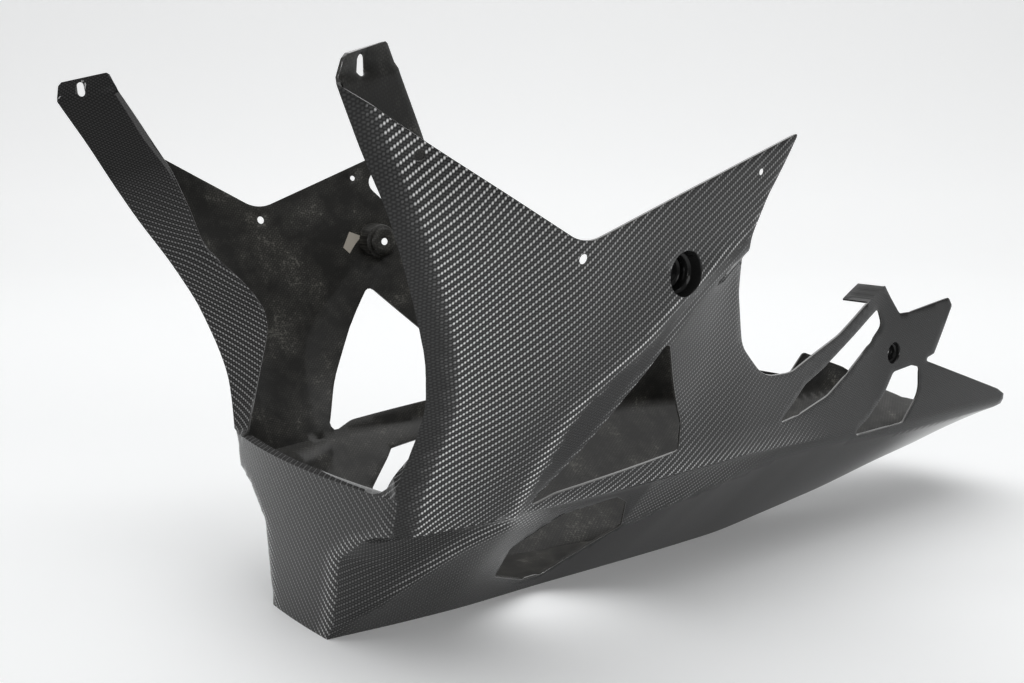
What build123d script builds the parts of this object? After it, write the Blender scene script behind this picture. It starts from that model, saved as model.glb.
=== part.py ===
# Motorcycle belly pan: the lower fairing of a sports motorcycle, moulded as one carbon laminate.
# Frame: +X forward, +Y to the rider's left, +Z up, millimetres.
# The origin is on the floor under the middle of the bounding box; the flat keel strip rests on z = 0.
# While modelling, x = 0 is the foot of the chin; the finished shell is shifted to the origin last.

import math
import os

from build123d import *

# Laminate
WALL = 2.0              # laminate thickness
SEAM_DEPTH = 0.9        # how far joined walls run into each other
SPAN = 400.0            # cutting bodies reach this far from the centre plane
BEYOND = 900.0          # and this far behind the chin
CHINE_STEP = 3.0        # the underside joins the flank this far above its lower edge

# Chin
CHIN_RADIUS = 738.0     # the front plate is a shallow vertical arc in plan
LIP_Z = 122.0           # top of the front plate
LIP_FLANGE = 9.0        # width of the flange turned in behind the lip

# Leading edge of each flank, from the chin up to the front tip: (z, x, y)
LEADING_EDGE = [
    (85, -9, 121), (125, -10, 129), (167, -15, 150), (191, -13, 167), (226, -3, 183), (259, 13, 198),
    (294, 33, 216), (322, 48, 226), (356, 67, 231), (391, 87, 242), (430, 108, 254),
]
STRIP_LENGTH = 15.0     # the bevelled strip behind the leading edge, along X
STRIP_TURN = [(85, 13), (260, 14), (294, 11), (343, 8), (391, 5), (430, 5)]   # (z, outward step)

# Fullest line of the flank: (z, x, y)
FLANK_LINE = [
    (85, -62, 137), (125, -62, 156), (167, -66, 182), (194, -75, 200), (226, -85, 214), (259, -90, 227),
    (299, -88, 239), (343, -88, 246), (430, -88, 256),
]
# Ridge over the window, and the foot of its turned edge: (z, x, y)
RIDGE_LINE = [
    (85, -97, 139), (125, -98, 164), (167, -104, 190), (194, -126, 205), (226, -158, 216), (259, -190, 221),
    (294, -248, 220), (343, -296, 222), (393, -330, 227),
]
FOOT_LINE = [
    (85, -105, 138), (125, -108, 153), (167, -127, 177), (194, -143, 191), (226, -172, 206), (259, -208, 211),
    (294, -268, 210), (343, -314, 214), (393, -348, 219),
]
# Web behind the ridge and the tail walls, as half-widths at fixed stations: x, then (z, y)
WAIST_LINES = [
    (-250, [(85, 141), (125, 147), (167, 157), (194, 170), (226, 184), (259, 197), (299, 208), (343, 229), (430, 252)]),
    (-320, [(85, 132), (125, 140), (167, 147), (194, 153), (226, 164), (259, 178), (299, 192), (343, 210), (430, 234)]),
    (-420, [(85, 116), (125, 121), (167, 125), (226, 136), (430, 190)]),
    (-525, [(85, 101), (125, 106), (167, 109), (226, 110), (430, 150)]),
    (-640, [(85, 90), (125, 95), (167, 97), (226, 97), (430, 120)]),
    (-830, [(85, 72), (125, 76), (226, 80), (430, 100)]),
]
WAIST_GAP = 14.0        # least distance between these stations and the ridge's foot
LEVELS = [85, 125, 167, 194, 226, 259, 294, 343, 393]

# Lower edge of the flanks, a step over the underside: (x, z)
CHINE = [(150, 93), (0, 94), (-53, 97), (-105, 100), (-190, 103), (-250, 107), (-340, 108),
         (-445, 104), (-576, 97), (-830, 96)]

# Underside, as lines along X
KEEL = [(4, 45, 0), (-60, 47, 0), (-117, 46, 0), (-197, 37, 0), (-272, 31, 0), (-348, 24, 0),
        (-422, 15, 0), (-480, 14, 8), (-560, 16, 21), (-640, 18, 38), (-700, 20, 49), (-830, 23, 79)]
BREAK_LINE = [(4, 47, 6), (-29, 74, 29), (-53, 97, 54), (-79, 117, 76), (-105, 136, 92), (-150, 119, 81),
              (-240, 95, 57), (-283, 114, 75), (-385, 117, 94), (-445, 114, 101), (-576, 94, 90),
              (-640, 88, 90), (-830, 70, 94)]
HOLLOW_LINE = [(4, 56, 66), (-29, 86, 62), (-53, 105, 74), (-79, 121, 86), (-105, 138, 95)]
SHELF_LINE = [(4, 92, 87), (-17, 104, 90), (-53, 116, 92), (-83, 129, 96), (-105, 140, 98),
              (-190, 138, 101), (-250, 137, 105), (-340, 128, 106), (-445, 115, 103),
              (-576, 95.5, 95), (-830, 71, 95)]
STATIONS = [4, -29, -53, -79, -105, -150, -240, -283, -385, -445, -576, -640, -830]

# Side windows in the webs, corner by corner: (x, z, corner radius)
WINDOW = [(-105, 103, 4), (-186, 221, 5), (-204, 200, 30), (-231, 170, 30), (-247, 150, 16), (-250, 127, 3),
          (-130, 113, 30)]
# Six-sided side vents below the chine
VENT = [(-131, 30, 3), (-124, 61, 3), (-157, 88, 4), (-204, 94, 4), (-220, 86, 4), (-238, 57, 4),
        (-190, 14, 3), (-171, 14, 3)]

# Top and rear edge of the left flank, from ahead of the front tip to the tail: (x, z, corner radius)
LEFT_EDGE = [(140, 420, 1), (-86, 297, 30), (-284, 366, 1.5), (-262, 322, 60), (-253, 290, 30),
             (-268, 251, 60), (-300, 205, 60), (-345, 173, 60), (-387, 171, 40), (-456, 195, 80),
             (-494, 216, 5), (-527, 232, 2), (-556, 204, 6), (-572, 204, 6), (-638, 212, 4),
             (-645, 204, 3), (-619, 160, 3), (-602, 156, 2), (-745, 110, 5), (-759, 103, 4), (-762, 60, 1)]
# The same on the right, where the flank and the tail are cut shorter
RIGHT_EDGE = [(140, 420, 1), (-86, 297, 30), (-216, 349, 3), (-192, 318, 10), (-226, 284, 30),
              (-262, 246, 60), (-302, 200, 60), (-360, 172, 60), (-480, 160, 80), (-565, 124, 60),
              (-628, 110, 4), (-650, 133, 5), (-707, 112, 20), (-762, 77, 4), (-790, 70, 1)]
# Rear end of the floor in plan: (x, y)
TAIL_END = [(-758, 300), (-758, 90), (-776, -40), (-776, -300), (-900, -300), (-900, 300)]
TAIL_FLOOR_HALF = 22.0  # the right edge is cut down to the floor this far from the centre plane

# Screw holes, as (x, z) with their bores
FRONT_HOLE = (34, 353)
NOTCH_HOLE = (-87, 288)
REAR_HOLE_LEFT = (-249, 339)
REAR_HOLE_RIGHT = (-180, 324)
SCREW_BORE = 6.5
SMALL_BORE = 4.5

# Screw cups, moulded inboard: (x, z)
SIDE_CUP_LEFT = (-186, 272)
SIDE_CUP_RIGHT = (-196, 266)
SIDE_CUP_BORE = 30.0
SIDE_CUP_FLOOR = 201.0          # outer face of the cup's floor, from the centre plane
TAIL_CUP = (-551, 168)
TAIL_CUP_BORE = 18.0
TAIL_CUP_FLOOR = 97.0

# Left tail: the long slot in the arm, the opening behind it, and the inboard tab
ARM_SLOT = [(-378, 128, 2), (-396, 143, 14), (-412, 157, 20), (-436, 167, 40), (-504, 204, 20), (-520, 212, 5),
            (-529, 196, 6), (-512, 182, 40), (-477, 158, 60), (-450, 142, 30), (-408, 131, 20)]
TAIL_HOLE = [(-494, 97, 3), (-521, 112, 10), (-542, 132, 14), (-553, 150, 6), (-582, 153, 6),
             (-595, 150, 4), (-599, 125, 20), (-578, 98, 6)]
ARM_TAB_ROOT = [(-498, 217), (-526, 231)]
ARM_TAB_WIDTH = 30.0

# Front tabs: the return bands behind the leading edges end in them
BAND = [
    ((-11, 128, 118), (-12, 110, 119)),
    ((-11, 131, 132), (-17, 115, 134)), ((-14, 141, 150), (-27, 125, 150)),
    ((-14, 156, 176), (-39, 136, 176)), ((-11, 170, 200), (-52, 149, 200)),
    ((-7, 178, 217), (-54, 154, 216)), ((0, 186, 238), (-41, 159, 238)),
    ((7, 192, 248), (-33, 175, 250)), ((14, 199, 262), (-13, 183, 271)),
    ((33, 216, 294), (-6, 193, 302)), ((48, 226, 322), (4, 204, 334)),
    ((67, 231, 356), (19, 213, 362)), ((78, 236, 375), (29, 218, 380)),
    ((86, 241, 390), (40, 224, 399)),
]
TAB_TOP = ((84, 246, 406), (48, 228, 415))
TAB_SLOT = (68, 401)
TAB_SLOT_LENGTH = 12.0
TAB_SLOT_WIDTH = 6.0


def along(line, key):
    """Values of a line at a key, straight between its points."""
    points = sorted(line)
    for low, high in zip(points, points[1:]):
        if key <= high[0]:
            break
    share = (key - low[0]) / (high[0] - low[0])
    return [a + share * (b - a) for a, b in zip(low[1:], high[1:])]


def inset(points, depth):
    """An open outline moved to its right-hand side by a wall, with mitred corners."""
    normals = []
    for (ax, ay), (bx, by) in zip(points, points[1:]):
        run = math.hypot(bx - ax, by - ay)
        normals.append(((by - ay) / run, -(bx - ax) / run))
    moved = [(points[0][0] + depth * normals[0][0], points[0][1] + depth * normals[0][1])]
    for (px, py), (ax, ay), (bx, by) in zip(points[1:-1], normals, normals[1:]):
        share = depth / (1 + ax * bx + ay * by)
        moved.append((px + share * (ax + bx), py + share * (ay + by)))
    last = normals[-1]
    moved.append((points[-1][0] + depth * last[0], points[-1][1] + depth * last[1]))
    return moved


def ruled(sections):
    """A solid between closed polygons, straight from one to the next."""
    return Solid.make_loft([Wire.make_polygon(points, close=True) for points in sections], ruled=True)


def prism(outline, y_from, y_to):
    """A side-view outline of (x, z, corner radius) run across the pan."""
    corners = [(x, z) for x, z, radius in outline]
    radii = [radius for x, z, radius in outline]
    path = FilletPolyline(*corners, radius=radii, close=True)
    sketch = Plane.XZ * make_face(path)
    return Pos(0, y_from, 0) * extrude(sketch, amount=y_from - y_to)


def box_between(low, high):
    size = [b - a for a, b in zip(low, high)]
    middle = [(a + b) / 2 for a, b in zip(low, high)]
    return Pos(*middle) * Box(*size)


def flank_outline(z):
    """Left outline of the flanks at one level, from the leading edge to the tail."""
    edge_x, edge_y = along(LEADING_EDGE, z)
    turn = along(STRIP_TURN, z)[0]
    outline = [(edge_x, edge_y), (edge_x - STRIP_LENGTH, edge_y + turn)]
    outline += [tuple(along(line, z)) for line in (FLANK_LINE, RIDGE_LINE, FOOT_LINE)]
    foot_x = outline[-1][0]
    waist = [(x, along(line, z)[0]) for x, line in WAIST_LINES]
    for count, (x, line) in enumerate(WAIST_LINES, start=1):
        x = min(x, foot_x - WAIST_GAP * count)
        outline.append((x, along(waist, x)[0]))
    return outline


def flank_wall(side):
    """One flank with its web and tail wall, as a laminate from level to level."""
    sections = []
    for z in LEVELS:
        outer = flank_outline(z)
        ring = outer + inset(outer, -WALL)[::-1]
        sections.append([(x, side * y, z) for x, y in ring])
    return ruled(sections)


def flank_outside(side, low, high):
    """The space outboard of a flank between two levels."""
    sections = []
    for z in [low] + [level for level in LEVELS if low < level < high] + [high]:
        outer = flank_outline(z)
        ring = outer + [(outer[-1][0], SPAN), (outer[0][0], SPAN)]
        sections.append([(x, side * y, z) for x, y in ring])
    return ruled(sections)


def below_chine():
    """Everything under the flanks' lower edge."""
    outline = CHINE + [(-BEYOND, 0), (CHINE[0][0], 0)]
    face = Face(Wire.make_polygon([(x, -SPAN, z) for x, z in outline], close=True))
    return extrude(face, amount=2 * SPAN, dir=(0, 1, 0))


def beyond(edge):
    """Everything above and behind a flank's edge."""
    top = edge[0][1] + SPAN
    return edge + [(-BEYOND, edge[-1][1], 1), (-BEYOND, top, 1), (edge[0][0], top, 1)]


def screw_hole(at, bore, side):
    x, z = at
    return Pos(x, side * SPAN / 2, z) * (Rot(90, 0, 0) * Cylinder(bore / 2, SPAN))


def cup_parts(at, bore, floor, side):
    """A moulded cup open to the outside: its wall, and the space cut from the flank."""
    x, z = at
    reach = 2 * bore
    place = Pos(x, side * (floor - WALL + reach / 2), z) * Rot(90, 0, 0)
    solid = place * Cylinder(bore / 2 + WALL, reach)
    solid = solid - flank_outside(side, z - bore, z + bore)
    space = Pos(x, side * (floor + reach / 2), z) * (Rot(90, 0, 0) * Cylinder(bore / 2, reach))
    return solid, space


def return_band(side):
    """The inboard return behind a leading edge, with the slotted tab above it."""
    sections = []
    for (ax, ay, az), (bx, by, bz) in BAND + [TAB_TOP]:
        run = math.hypot(bx - ax, by - ay)
        off_x = WALL * (by - ay) / run
        off_y = -WALL * (bx - ax) / run
        ring = [(ax, ay, az), (bx, by, bz), (bx - off_x, by - off_y, bz), (ax - off_x, ay - off_y, az)]
        sections.append([(x, side * y, z) for x, y, z in ring])
    x, z = TAB_SLOT
    slot = Plane.XZ * SlotOverall(TAB_SLOT_LENGTH, TAB_SLOT_WIDTH, rotation=90)
    slot = Pos(x, SPAN, z) * extrude(slot, amount=2 * SPAN)
    return ruled(sections) - slot


def arm_tab():
    """The flat tab turned inboard at the head of the left tail arm."""
    (ax, az), (bx, bz) = ARM_TAB_ROOT
    run = math.hypot(bx - ax, bz - az)
    down = (WALL * (bz - az) / run, -WALL * (ax - bx) / run)
    y_a = flank_width(ax, az) - SEAM_DEPTH
    y_b = flank_width(bx, bz) - SEAM_DEPTH
    sections = []
    for x, z, y in ((ax, az, y_a), (bx, bz, y_b)):
        sections.append([(x, y, z), (x, y - ARM_TAB_WIDTH, z), (x + down[0], y - ARM_TAB_WIDTH, z + down[1]),
                         (x + down[0], y, z + down[1])])
    return ruled(sections)


def flank_width(x, z):
    """Half-width of the flanks at a station and level."""
    return along(flank_outline(z), x)[0]


def under_outline(x):
    """Left half of the underside's section, from the keel edge to inside the flank's wall."""
    keel_y, keel_z = along(KEEL, x)
    break_y, break_z = along(BREAK_LINE, x)
    shelf_y, shelf_z = along(SHELF_LINE, x)
    if x >= HOLLOW_LINE[-1][0]:
        hollow_y, hollow_z = along(HOLLOW_LINE, x)
    else:
        hollow_y = (break_y + shelf_y) / 2
        hollow_z = (break_z + shelf_z) / 2
    chine_z = along(CHINE, x)[0]
    top = (flank_width(min(x, -12), chine_z + CHINE_STEP) - SEAM_DEPTH, chine_z + CHINE_STEP)
    return [(keel_y, keel_z), (break_y, break_z), (hollow_y, hollow_z), (shelf_y, shelf_z), top]


def under_wall():
    """The underside from flank to flank, as a laminate from station to station."""
    sections = []
    for x in STATIONS:
        left = under_outline(x)
        outer = [(-y, z) for y, z in reversed(left)] + left
        ring = outer + inset(outer, -WALL)[::-1]
        sections.append([(x, y, z) for y, z in ring])
    return ruled(sections)


def chin_cylinder(depth, low, high):
    radius = CHIN_RADIUS - depth
    return Pos(-CHIN_RADIUS, 0, (low + high) / 2) * Cylinder(radius, high - low)


def chin_front():
    """Everything ahead of the front plate, below the lip."""
    block = box_between((-40, -200, -20), (60, 200, LIP_Z))
    return block - chin_cylinder(0, -30, LIP_Z + 10)


def chin_plate():
    """The front plate, with the flange turned in behind its lip."""
    half = inset(under_outline(0), -SEAM_DEPTH)[:-1]
    half += [(along(LEADING_EDGE, 97)[1] - SEAM_DEPTH, 97)]
    half += [(along(LEADING_EDGE, LIP_Z)[1] - SEAM_DEPTH, LIP_Z)]
    ring = half + [(-y, z) for y, z in reversed(half)]
    face = Face(Wire.make_polygon([(8, y, z) for y, z in ring], close=True))
    block = extrude(face, amount=50, dir=(-1, 0, 0))
    plate = chin_cylinder(0, -5, LIP_Z + 5) - chin_cylinder(WALL, -6, LIP_Z - WALL)
    plate = plate - chin_cylinder(LIP_FLANGE, -6, LIP_Z + 6)
    return block & plate


def build_flank(side, edge):
    flank = flank_wall(side)
    flank = flank - below_chine()
    near, far = (0, SPAN) if side > 0 else (-SPAN, 0)
    flank = flank - prism(beyond(edge), near, far)
    flank = flank - prism(WINDOW, near, far)
    if side < 0:
        cups = [(SIDE_CUP_RIGHT, SIDE_CUP_BORE, SIDE_CUP_FLOOR)]
        rear_hole = REAR_HOLE_RIGHT
    else:
        flank = flank - prism(ARM_SLOT, near, far) - prism(TAIL_HOLE, near, far)
        cups = [(SIDE_CUP_LEFT, SIDE_CUP_BORE, SIDE_CUP_FLOOR), (TAIL_CUP, TAIL_CUP_BORE, TAIL_CUP_FLOOR)]
        rear_hole = REAR_HOLE_LEFT
    for at, bore, floor in cups:
        solid, space = cup_parts(at, bore, floor, side)
        flank = flank + solid - space - screw_hole(at, SCREW_BORE, side)
    flank = flank - screw_hole(FRONT_HOLE, SCREW_BORE, side) - screw_hole(NOTCH_HOLE, SCREW_BORE, side)
    flank = flank - screw_hole(rear_hole, SMALL_BORE, side)
    return flank


def build_underside():
    under = under_wall() - chin_front()
    under = under - prism(VENT, 0, SPAN) - prism(VENT, -SPAN, 0)
    under = under - prism(beyond(RIGHT_EDGE), -SPAN, -TAIL_FLOOR_HALF)
    end = Face(Wire.make_polygon([(x, y, 0) for x, y in TAIL_END], close=True))
    return under - extrude(end, amount=SPAN, dir=(0, 0, 1))


def build_shell():
    left = build_flank(1, LEFT_EDGE) + arm_tab()
    right = build_flank(-1, RIGHT_EDGE)
    shell = build_underside() + chin_plate() + left + right + return_band(1) + return_band(-1)
    box = shell.bounding_box()
    return Pos(-(box.min.X + box.max.X) / 2, 0, 0) * shell


os.makedirs("parts", exist_ok=True)
shell = build_shell()
shell.label = "belly_pan_shell"
export_step(shell, "parts/belly_pan_shell.step")
print("belly_pan_shell", len(shell.solids()), "solid", round(shell.volume), "mm3", shell.bounding_box())
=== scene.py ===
import math

import bmesh
import bpy
import numpy as np
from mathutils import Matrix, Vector
from mathutils.geometry import delaunay_2d_cdt


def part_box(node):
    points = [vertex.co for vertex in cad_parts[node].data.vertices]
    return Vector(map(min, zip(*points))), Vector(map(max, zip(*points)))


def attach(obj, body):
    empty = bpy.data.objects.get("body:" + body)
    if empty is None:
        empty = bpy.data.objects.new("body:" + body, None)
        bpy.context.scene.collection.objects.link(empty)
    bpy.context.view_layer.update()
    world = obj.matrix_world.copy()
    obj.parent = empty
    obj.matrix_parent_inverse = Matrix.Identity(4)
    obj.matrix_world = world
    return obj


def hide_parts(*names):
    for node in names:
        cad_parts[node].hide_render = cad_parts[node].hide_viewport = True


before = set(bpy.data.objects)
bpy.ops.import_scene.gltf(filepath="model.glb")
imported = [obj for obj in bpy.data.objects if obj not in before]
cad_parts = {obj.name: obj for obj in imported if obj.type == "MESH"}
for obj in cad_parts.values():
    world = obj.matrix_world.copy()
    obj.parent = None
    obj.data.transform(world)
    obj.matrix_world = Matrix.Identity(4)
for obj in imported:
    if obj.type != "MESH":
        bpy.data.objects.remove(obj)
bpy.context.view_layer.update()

laminate = {
    "node": "belly_pan_shell",
    "thickness": 2.0,
    "tipAheadOfChin": 87.118,   # the front tips stand this far ahead of the chin's foot
    "pointStep": 6.0,           # spacing of the skin's points, inside and along its edges
    "edgeStep": 4.0,
    "fold": 1.3,                # half-width of a tight fold
    "rimBevel": 0.35,
}

flank = {
    # lines up the flank: (z, x, y)
    "leadingEdge": [(85, -9, 121), (100, -9, 124), (125, -10, 129), (146, -13, 139), (167, -15, 150), (191, -13, 167),
                    (226, -3, 183), (259, 13, 198), (294, 33, 216), (322, 48, 226), (356, 67, 231), (391, 87, 242),
                    (430, 108, 254)],
    "stripTurn": [(85, 13), (260, 14), (294, 11), (343, 8), (391, 5), (430, 5)],
    "stripLength": 15.0,
    "fullest": [(85, -62, 137), (100, -62, 143), (125, -62, 156), (146, -64, 170), (167, -66, 182), (194, -75, 200),
                (226, -85, 214), (259, -90, 227), (299, -88, 239), (343, -88, 246), (430, -88, 256)],
    "ridge": [(85, -97, 139), (100, -97, 146), (125, -98, 164), (146, -99, 178), (167, -104, 190), (185, -112, 200),
              (204, -128, 208), (226, -158, 216), (243, -170, 219), (256, -186, 221), (264, -200, 220),
              (278, -222, 217), (290, -243, 214), (310, -265, 217), (343, -296, 222), (430, -356, 231)],
    "foot": [(85, -105, 138), (102, -106, 144), (121, -116, 158), (143, -126, 175), (168, -142, 188), (188, -155, 197),
             (202, -165, 203), (218, -176, 208), (230, -184, 210), (243, -193, 211), (256, -205, 212),
             (264, -217, 213), (278, -240, 212), (290, -262, 211), (310, -284, 214), (343, -314, 219),
             (430, -374, 224)],
    # half-widths at fixed stations behind it: x, then (z, y)
    "waist": [(-250, [(85, 141), (128, 147), (146, 150), (167, 157), (194, 170), (226, 184), (259, 197), (299, 208),
                      (343, 229), (430, 252)]),
              (-320, [(85, 132), (128, 140), (146, 143), (167, 147), (194, 153), (226, 164), (259, 178), (299, 192),
                      (343, 210), (430, 234)]),
              (-420, [(85, 116), (128, 121), (181, 127), (226, 136), (430, 190)]),
              (-525, [(85, 101), (128, 106), (181, 109), (226, 110), (430, 150)]),
              (-640, [(85, 90), (128, 95), (181, 97), (226, 97), (430, 120)]),
              (-830, [(85, 72), (128, 76), (226, 80), (430, 100)])],
    "waistGap": 14.0,           # least distance between these stations and the ridge's foot
    "beadBack": 5.0,            # the web starts this far behind the foot, and this far inboard
    "beadIn": 0.5,
    "soft": 11.0,               # rounding of the broad curves between the folds
    # painted sheen: how brightly the rising tows' crowns are painted on each of these lines, the web's stations last
    "paintedSheen": {"edge": 0.035, "turn": 0.95, "fullest": 0.55, "ridge": 1.4, "foot": 0.6, "bead": 0.12,
               "waist": (0.3, 0.2, 0.07, 0.03, 0.03, 0.03)},
}

underside = {
    "chine": [(150, 93), (0, 94), (-53, 97), (-105, 100), (-190, 103), (-250, 107), (-340, 108), (-445, 104),
              (-576, 97), (-830, 96)],
    # lines along the pan: (x, half-width, z)
    "keel": [(4, 45, 0), (-60, 47, 0), (-117, 46, 0), (-197, 37, 0), (-272, 31, 0), (-348, 24, 0), (-422, 15, 0),
             (-480, 14, 8), (-560, 16, 21), (-640, 18, 38), (-700, 20, 49), (-830, 23, 79)],
    "breakLine": [(4, 47, 6), (-29, 74, 29), (-53, 97, 54), (-79, 117, 76), (-105, 136, 92), (-150, 119, 81),
                  (-240, 95, 57), (-283, 114, 75), (-326, 117, 83), (-385, 117, 94), (-445, 114, 99), (-500, 104, 94),
                  (-576, 94, 89), (-660, 86, 89), (-830, 70, 92)],
    "hollow": [(4, 56, 66), (-29, 86, 62), (-53, 105, 74), (-79, 121, 86), (-105, 138, 95)],
    "shelf": [(4, 92, 87), (-17, 104, 90), (-53, 116, 92), (-83, 129, 96), (-105, 140, 98), (-190, 138, 101),
              (-250, 137, 105), (-340, 128, 106), (-445, 115, 102), (-576, 95.5, 94), (-830, 71, 94)],
    "soft": 4.0,
    "keelSoft": 14.0,
    "keelRows": 8,
    "keelColumns": 130,
    # painted sheen of the underside's weave
    "paintedSheen": 0.12,
}

# the chin's painted sheen, and a painted highlight stripe beside its upright corners
chin = {"radius": 738.0, "lip": 122.0, "flange": 9.0, "flangeHalf": 110.0, "paintedSheen": 0.2, "cornerPaintedSheen": 0.5,
        # how far each side of the upright corners is rounded: (z, reach)
        "ease": [(0, 0), (10, 8), (112, 8), (122, 4)]}

# outlines seen from the side: (x, z, corner radius)
cuts = {
    "window": [(-105, 103, 4), (-126, 143, 90), (-155, 188, 90), (-182, 225, 5), (-204, 200, 30), (-231, 170, 30),
               (-247, 150, 16), (-250, 127, 3), (-130, 113, 30)],
    "vent": [(-131, 30, 3), (-124, 61, 3), (-157, 88, 4), (-204, 94, 4), (-220, 86, 4), (-238, 57, 4), (-190, 14, 3),
             (-171, 14, 3)],
    "leftEdge": [(-86, 297, 30), (-284, 366, 1.5), (-262, 322, 60), (-253, 290, 30), (-268, 251, 60), (-300, 205, 60),
                 (-345, 173, 60), (-387, 171, 40), (-456, 195, 80), (-494, 216, 5), (-527, 232, 2), (-556, 204, 6),
                 (-572, 204, 6), (-638, 212, 4), (-645, 204, 3), (-619, 160, 3), (-602, 156, 2), (-745, 110, 5),
                 (-759, 103, 4)],
    "rightEdge": [(-86, 297, 30), (-216, 349, 3), (-192, 318, 10), (-226, 284, 30), (-262, 246, 60), (-302, 200, 60),
                  (-360, 172, 60), (-480, 160, 80), (-565, 124, 60), (-628, 110, 4), (-650, 133, 5), (-707, 112, 20),
                  (-762, 77, 4), (-775, 73, 1)],
    "armSlot": [(-378, 128, 2), (-396, 143, 14), (-412, 157, 20), (-436, 167, 40), (-504, 204, 20), (-520, 212, 5),
                (-529, 196, 6), (-512, 182, 40), (-477, 158, 60), (-450, 142, 30), (-408, 131, 20)],
    "tailHole": [(-494, 97, 3), (-521, 112, 10), (-542, 132, 14), (-553, 150, 6), (-582, 153, 6), (-595, 150, 4),
                 (-599, 125, 20), (-578, 98, 6)],
    "tailEnd": [(-758, 90), (-776, -40)],      # the floor's rear end in plan: (x, y)
}

holes = {
    # screw holes: (x, z, bore)
    "left": [(34, 353, 6.5), (-87, 288, 6.5), (-249, 339, 4.5)],
    "right": [(34, 353, 6.5), (-87, 288, 6.5), (-180, 324, 4.5)],
    # screw cups: (x, z, mouth bore, floor's distance from the centre plane)
    "leftCups": [(-186, 272, 30, 201), (-551, 168, 18, 97)],
    "rightCups": [(-196, 266, 30, 201)],
    "cupBore": 6.5,
}

band = {
    # the return behind a leading edge: its leading and its free point
    "pairs": [((-11, 128, 118), (-12, 110, 119)), ((-11, 131, 132), (-17, 115, 134)), ((-14, 141, 150), (-27, 125, 150)),
              ((-14, 156, 176), (-39, 136, 176)), ((-11, 170, 200), (-52, 149, 200)), ((-7, 178, 217), (-54, 156, 216)),
              ((0, 186, 238), (-41, 162, 238)), ((7, 192, 248), (-33, 178, 250)), ((14, 199, 262), (-13, 186, 271)),
              ((33, 216, 294), (-6, 197, 302)), ((48, 226, 322), (4, 208, 334)), ((67, 231, 356), (19, 217, 362)),
              ((78, 236, 375), (29, 221, 380)), ((86, 241, 390), (40, 226, 399))],
    "tabTop": [(84, 246, 406), (48, 228, 415)],
    "columns": 9,
    # painted sheen of the return band by height: (z, amount)
    "paintedSheen": [(122, 0.3), (200, 0.4), (285, 0.22), (330, 0.04), (430, 0.02)],
    "slot": (68, 401, 12.0, 6.0),
    "joggle": 1.6,
}

armTab = {"front": -498, "rear": -526, "low": 210, "width": 30.0}


# Lines and surfaces of the laminate


def faired(points, low, high, spread):
    # values at every millimetre between low and high, the line's kinks rounded over spread
    keys, *columns = np.array(sorted(points), float).T
    margin = int(3 * spread) + 1
    wide = np.arange(low - margin, high + margin + 1)
    bell = np.exp(-0.5 * (np.arange(-margin, margin + 1) / spread) ** 2)
    bell /= bell.sum()
    rows = []
    for column in columns:
        values = np.interp(wide, keys, column)
        before = column[0] + (wide - keys[0]) * (column[1] - column[0]) / (keys[1] - keys[0])
        after = column[-1] + (wide - keys[-1]) * (column[-1] - column[-2]) / (keys[-1] - keys[-2])
        values = np.where(wide < keys[0], before, np.where(wide > keys[-1], after, values))
        rows.append(np.convolve(values, bell, "valid"))
    return rows


zLow, zHigh, xLow, xHigh = 80, 432, -810, 130
levels = np.arange(zLow, zHigh + 1)
stations = np.arange(xLow, xHigh + 1)


def flankTable():
    # half-width of the flanks, and their painted sheen, over height and station
    edgeX, edgeY = faired(flank["leadingEdge"], zLow, zHigh, 7)
    turn = faired(flank["stripTurn"], zLow, zHigh, 10)[0]
    lines = [(edgeX, edgeY), (edgeX - flank["stripLength"], edgeY + turn)]
    for name in ("fullest", "ridge", "foot"):
        lines.append(faired(flank[name], zLow, zHigh, 9))
    (ridgeX, ridgeY), (footX, footY) = lines[3:]
    bead = footX - flank["beadBack"]
    lines.append((bead, footY - flank["beadIn"]))
    columns = [faired(column, zLow, zHigh, 12)[0] for _, column in flank["waist"]]
    places = [x for x, _ in flank["waist"]]
    footX = lines[-1][0]
    for n, x in enumerate(places, start=1):
        xs = np.minimum(x, footX - flank["waistGap"] * n)
        ys = [np.interp(-xs[row], [-p for p in places], [c[row] for c in columns]) for row in range(levels.size)]
        lines.append((xs, np.array(ys)))
    spread = flank["soft"]
    margin = int(3 * spread)
    bell = np.exp(-0.5 * (np.arange(-margin, margin + 1) / spread) ** 2)
    bell /= bell.sum()
    table, shine = np.zeros((2, levels.size, stations.size))
    glow = flank["paintedSheen"]
    glows = [glow["edge"], glow["turn"], glow["fullest"], glow["ridge"], glow["foot"], glow["bead"], *glow["waist"]]
    for row in range(levels.size):
        marks = [(line[0][row], value) for line, value in zip(lines, glows)]
        turn, full, crest, step = (marks[n][0] for n in (1, 2, 3, 4))
        # painted sheen between the lines: a painted highlight on the ridge's crest, and from just behind the crest down
        # to the foot a near-dark band of painted shade
        marks += [(turn + 1.5, glow["edge"]), ((full + crest) / 2, 0.3), (crest + 7, 0.35),
                  (crest - 3, 0.03), (step + 3, 0.03)]
        shine[row] = np.interp(stations, *zip(*sorted(marks)))
        knots = sorted((line[0][row], line[1][row]) for line in lines)
        xs, ys = zip(*knots)
        straight = np.interp(stations, xs, ys)
        rounded = np.convolve(np.pad(straight, margin, mode="edge"), bell, "valid")
        folds = [lines[n][0][row] for n in (0, 1, 3, 4, 5)]
        away = np.min([np.abs(stations - x) for x in folds], axis=0)
        share = np.clip((away - 5) / 17, 0, 1)
        share = share * share * (3 - 2 * share)
        table[row] = straight + share * (rounded - straight)
    return table, shine, lines


widths, paintedSheens, flankLines = flankTable()


def lookUp(table, x, z):
    x = np.clip(np.asarray(x, float) - xLow, 0, stations.size - 1.001)
    z = np.clip(np.asarray(z, float) - zLow, 0, levels.size - 1.001)
    i, j = x.astype(int), z.astype(int)
    u, v = x - i, z - j
    return ((1 - v) * ((1 - u) * table[j, i] + u * table[j, i + 1])
            + v * ((1 - u) * table[j + 1, i] + u * table[j + 1, i + 1]))


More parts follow.
